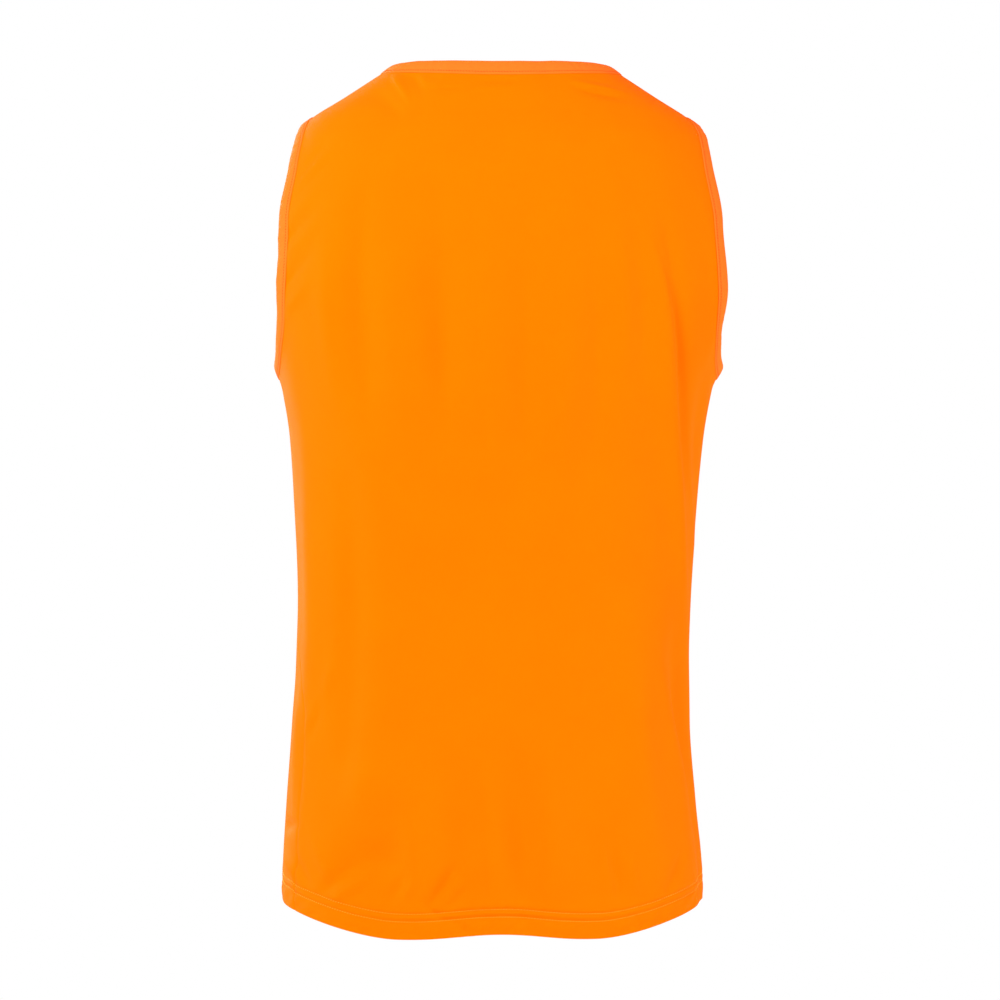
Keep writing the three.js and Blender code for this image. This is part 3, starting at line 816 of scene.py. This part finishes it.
def make_stitches(name, rows, tree):
    """One mesh of stitches along several closed paths, each given with the cloth's normals."""
    points, normals, edges, start = [], [], [], 0
    for path, normal in rows:
        index = start + np.arange(len(path))
        edges.append(np.stack([index, np.roll(index, -1)], -1))
        points.append(path)
        normals.append(normal)
        start += len(path)
    mesh = bpy.data.meshes.new(name + "_path")
    mesh.from_pydata((np.concatenate(points) * MM).tolist(), np.concatenate(edges).tolist(), [])
    attribute = mesh.attributes.new("off_cloth", "FLOAT_VECTOR", "POINT")
    attribute.data.foreach_set("vector", np.concatenate(normals).ravel())
    guide = add_object(name + "_path", mesh)
    guide.modifiers.new("stitches", "NODES").node_group = tree
    evaluated = guide.evaluated_get(bpy.context.evaluated_depsgraph_get())
    result = bpy.data.meshes.new_from_object(evaluated)
    result.name = name
    bpy.data.objects.remove(guide)
    if "off_cloth" in result.attributes:
        result.attributes.remove(result.attributes["off_cloth"])
    return add_object(name, result)


# ---- materials ----

class Nodes:
    """A small helper that adds shader nodes and joins them."""

    def __init__(self, name):
        self.material = bpy.data.materials.new(name)
        self.material.use_nodes = True
        self.tree = self.material.node_tree
        self.shader = self.tree.nodes["Principled BSDF"]

    def add(self, kind, inputs=None, **settings):
        made = self.tree.nodes.new(kind)
        for key, value in settings.items():
            setattr(made, key, value)
        for key, value in (inputs or {}).items():
            if isinstance(value, bpy.types.NodeSocket):
                self.tree.links.new(value, made.inputs[key])
            else:
                made.inputs[key].default_value = value
        return made

    def maths(self, operation, *values):
        return self.add("ShaderNodeMath", dict(enumerate(values)), operation=operation).outputs[0]

    def join(self, source, target):
        self.tree.links.new(source, target)


def knit_material(name, colour, wale, course, relief):
    """Fine knit: columns of small V loops in the cloth's own UV map, with a faint mottle."""
    n = Nodes(name)
    n.shader.inputs["Roughness"].default_value = 0.7
    n.shader.inputs["Specular IOR Level"].default_value = 0.03
    n.shader.inputs["Specular Tint"].default_value = (1.0, 0.3, 0.0, 1.0)
    uv = n.add("ShaderNodeUVMap", uv_map="cloth").outputs["UV"]
    split = n.add("ShaderNodeSeparateXYZ", {"Vector": uv})
    across = n.maths("DIVIDE", split.outputs["X"], wale * MM)
    leg = n.maths("PINGPONG", across, 0.5)
    up = n.maths("DIVIDE", split.outputs["Y"], course * MM)
    slanted = n.maths("ADD", up, n.maths("MULTIPLY", leg, LOOP_SLOPE))
    loop = n.maths("SINE", n.maths("MULTIPLY", slanted, 2 * math.pi))
    rib = n.maths("SINE", n.maths("MULTIPLY", leg, 2 * math.pi))
    height = n.maths("MULTIPLY_ADD", loop, LOOP_RELIEF, rib)
    place = n.add("ShaderNodeTexCoord").outputs["Object"]
    fuzz = n.add("ShaderNodeTexNoise", {"Vector": place, "Scale": 900.0, "Detail": 3.0, "Roughness": 0.6})
    height = n.maths("MULTIPLY_ADD", fuzz.outputs["Fac"], FUZZ_RELIEF, height)
    bump = n.add("ShaderNodeBump", {"Height": height, "Strength": relief, "Distance": KNIT_DEPTH * MM})
    n.join(bump.outputs["Normal"], n.shader.inputs["Normal"])
    mottle = n.add("ShaderNodeTexNoise", {"Vector": place, "Scale": 26.0, "Detail": 4.0, "Roughness": 0.55})
    fleck = n.add("ShaderNodeTexNoise", {"Vector": place, "Scale": 420.0, "Detail": 2.0})
    shade = n.maths("MULTIPLY_ADD", mottle.outputs["Fac"], MOTTLE_SHADE, PLAIN_SHADE)
    shade = n.maths("MULTIPLY_ADD", fleck.outputs["Fac"], FLECK_SHADE, shade)
    base = n.add("ShaderNodeMix", {"Factor": 1.0}, data_type="RGBA", blend_type="MULTIPLY")
    base.inputs["A"].default_value = (*colour, 1.0)
    n.join(shade, base.inputs["B"])
    n.join(base.outputs[2], n.shader.inputs["Base Color"])
    return n.material


def thread_material(name, shade, tint):
    """Twisted thread in two close shades."""
    n = Nodes(name)
    n.shader.inputs["Roughness"].default_value = 0.55
    n.shader.inputs["Specular IOR Level"].default_value = 0.12
    n.shader.inputs["Specular Tint"].default_value = (1.0, 0.5, 0.15, 1.0)
    place = n.add("ShaderNodeTexCoord").outputs["Object"]
    twist = n.add("ShaderNodeTexWave", {"Vector": place, "Scale": 900.0, "Distortion": 2.0})
    relief = {"Height": twist.outputs["Fac"], "Strength": 0.4, "Distance": THREAD_DEPTH * MM}
    bump = n.add("ShaderNodeBump", relief)
    n.join(bump.outputs["Normal"], n.shader.inputs["Normal"])
    tone = n.add("ShaderNodeMix", {"Factor": twist.outputs["Fac"]}, data_type="RGBA")
    tone.inputs["A"].default_value = (*shade, 1.0)
    tone.inputs["B"].default_value = (*tint, 1.0)
    n.join(tone.outputs[2], n.shader.inputs["Base Color"])
    return n.material


# ---- the bib ----
ORANGE = (0.97, 0.14, 0.0)
BINDING_ORANGE = (0.97, 0.148, 0.014)
LIGHT_THREAD = ((1.0, 0.23, 0.01), (1.0, 0.3, 0.02))
# The binding thread's darker colour is painted shade: it stands for the shade in the needle holes, where the
# stitches sink into the strip.
SHADE_DARKENED_THREAD = ((0.72, 0.07, 0.003), (0.82, 0.09, 0.005))
knit = knit_material("orange bib knit", ORANGE, wale=0.9, course=0.7, relief=0.35)
strip = knit_material("orange binding strip", BINDING_ORANGE, wale=0.8, course=0.8, relief=0.4)
light_thread = thread_material("hem thread", *LIGHT_THREAD)
shade_darkened_thread = thread_material("binding thread with painted shade", *SHADE_DARKENED_THREAD)

back_cloth = make_panel("back_cloth", BACK, knit)
front_cloth = make_panel("front_cloth", FRONT, knit)
neck_band = make_binding("neck_band", neck_path(), NECK_BINDING, -1, 31, strip)
band_left = make_binding("armhole_band_left", armhole_path(1), ARMHOLE_BINDING, 1, 32, strip)
band_right = make_binding("armhole_band_right", armhole_path(-1), ARMHOLE_BINDING, -1, 33, strip)


def band_stitches(path, sense, into_mm, off_mm):
    place, normal, into = path_frame(path, sense)
    return place + into * into_mm + normal * off_mm, normal


def hem_row(lift):
    around = np.linspace(-180, 180, PATH_POINTS["hem"], endpoint=False)
    height = hem_curve(around) + lift + stitch_jog(around)
    normal = cloth_normal(around, height)
    return cloth_point(around, height) + normal * HEM_ROW_OFF, normal


straight = stitch_tree("stitch_row", *BAND_STITCH, shade_darkened_thread)
slanted = stitch_tree("slanted_stitch_row", *HEM_STITCH, light_thread)
neck_rows = [band_stitches(neck_path(), -1, *row) for row in BAND_ROWS]
left_rows = [band_stitches(armhole_path(1), 1, *row) for row in BAND_ROWS]
right_rows = [band_stitches(armhole_path(-1), -1, *row) for row in BAND_ROWS]
neck_stitches = make_stitches("neck_stitches", neck_rows, straight)
left_stitches = make_stitches("armhole_stitches_left", left_rows, straight)
right_stitches = make_stitches("armhole_stitches_right", right_rows, straight)
hem_stitches = make_stitches("hem_stitches", [hem_row(lift) for lift in NEEDLE_ROWS], slanted)

STANDS_FOR = (
    (back_cloth, "back_panel", "bib_knit"), (front_cloth, "front_panel", "bib_knit"),
    (neck_band, "neck_binding", "bib_binding"), (band_left, "armhole_binding_left", "bib_binding"),
    (band_right, "armhole_binding_right", "bib_binding"),
)
for piece, solid, slot in STANDS_FOR:
    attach(piece, "root")
    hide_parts(solid)
for piece in (neck_stitches, left_stitches, right_stitches, hem_stitches):
    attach(piece, "root")

# ---- camera, light and floor ----
VIEW_DISTANCE = 3.0     # metres, here and below
FRAME_WIDTH = 0.8305    # what is in view from side to side, at the origin's distance
EYE_HEIGHT = -0.333
SENSOR_WIDTH = 36
LIGHT_AIM = (0, 0, -0.35)
LIGHT_SIZE = 1.0
LIGHTS = (
    # name, place and watts
    ("key", (1.26, 1.87, 0.95), 84),
    ("left_side", (2.6, -0.95, 0.3), 28),
    ("right_side", (-2.28, 0.57, -0.3), 44),
    ("front_key", (1.6, -2.4, 0.5), 88),
)
FLOOR_RADIUS = 4.0
FLOOR_HEIGHT = -1.45
FLOOR_CORNERS = 96
ROOM_LIGHT = 0.45       # how much of the white that is seen falls on the cloth

camera_data = bpy.data.cameras.new("camera")
camera_data.sensor_width = SENSOR_WIDTH
camera_data.lens = SENSOR_WIDTH * VIEW_DISTANCE / FRAME_WIDTH
camera = add_object("camera", camera_data)
camera.location = (0, VIEW_DISTANCE, EYE_HEIGHT)
camera.rotation_euler = (math.pi / 2, 0, math.pi)
bpy.context.scene.camera = camera

for light_name, light_place, power in LIGHTS:
    light_data = bpy.data.lights.new(light_name, "AREA")
    light_data.shape = "DISK"
    light_data.size = LIGHT_SIZE
    light_data.energy = power
    light = add_object(light_name, light_data)
    light.location = light_place
    aim = np.array(LIGHT_AIM) - np.array(light_place)
    light.rotation_euler = (math.atan2(math.hypot(aim[0], aim[1]), -aim[2]), 0, math.atan2(-aim[0], aim[1]))

floor_mesh = bpy.data.meshes.new("floor")
turns = np.linspace(0, 2 * math.pi, FLOOR_CORNERS + 1)[:-1]
ring = [(FLOOR_RADIUS * math.cos(turn), FLOOR_RADIUS * math.sin(turn), FLOOR_HEIGHT) for turn in turns]
floor_mesh.from_pydata(ring, [], [list(range(len(ring)))])
floor = add_object("floor", floor_mesh)
pale = Nodes("pale floor")
pale.shader.inputs["Base Color"].default_value = (0.85, 0.85, 0.85, 1)
pale.shader.inputs["Roughness"].default_value = 0.9
floor_mesh.materials.append(pale.material)

# A white studio: the room is seen white, and lights the cloth less than a full white would.
world = bpy.data.worlds.new("studio")
world.use_nodes = True
background = world.node_tree.nodes["Background"]
background.inputs["Color"].default_value = (1, 1, 1, 1)
seen = world.node_tree.nodes.new("ShaderNodeLightPath").outputs["Is Camera Ray"]
strength = world.node_tree.nodes.new("ShaderNodeMath")
strength.operation = "MULTIPLY_ADD"
strength.inputs[1].default_value = 1 - ROOM_LIGHT
strength.inputs[2].default_value = ROOM_LIGHT
world.node_tree.links.new(seen, strength.inputs[0])
world.node_tree.links.new(strength.outputs[0], background.inputs["Strength"])
bpy.context.scene.world = world
bpy.context.scene.view_settings.view_transform = "Standard"
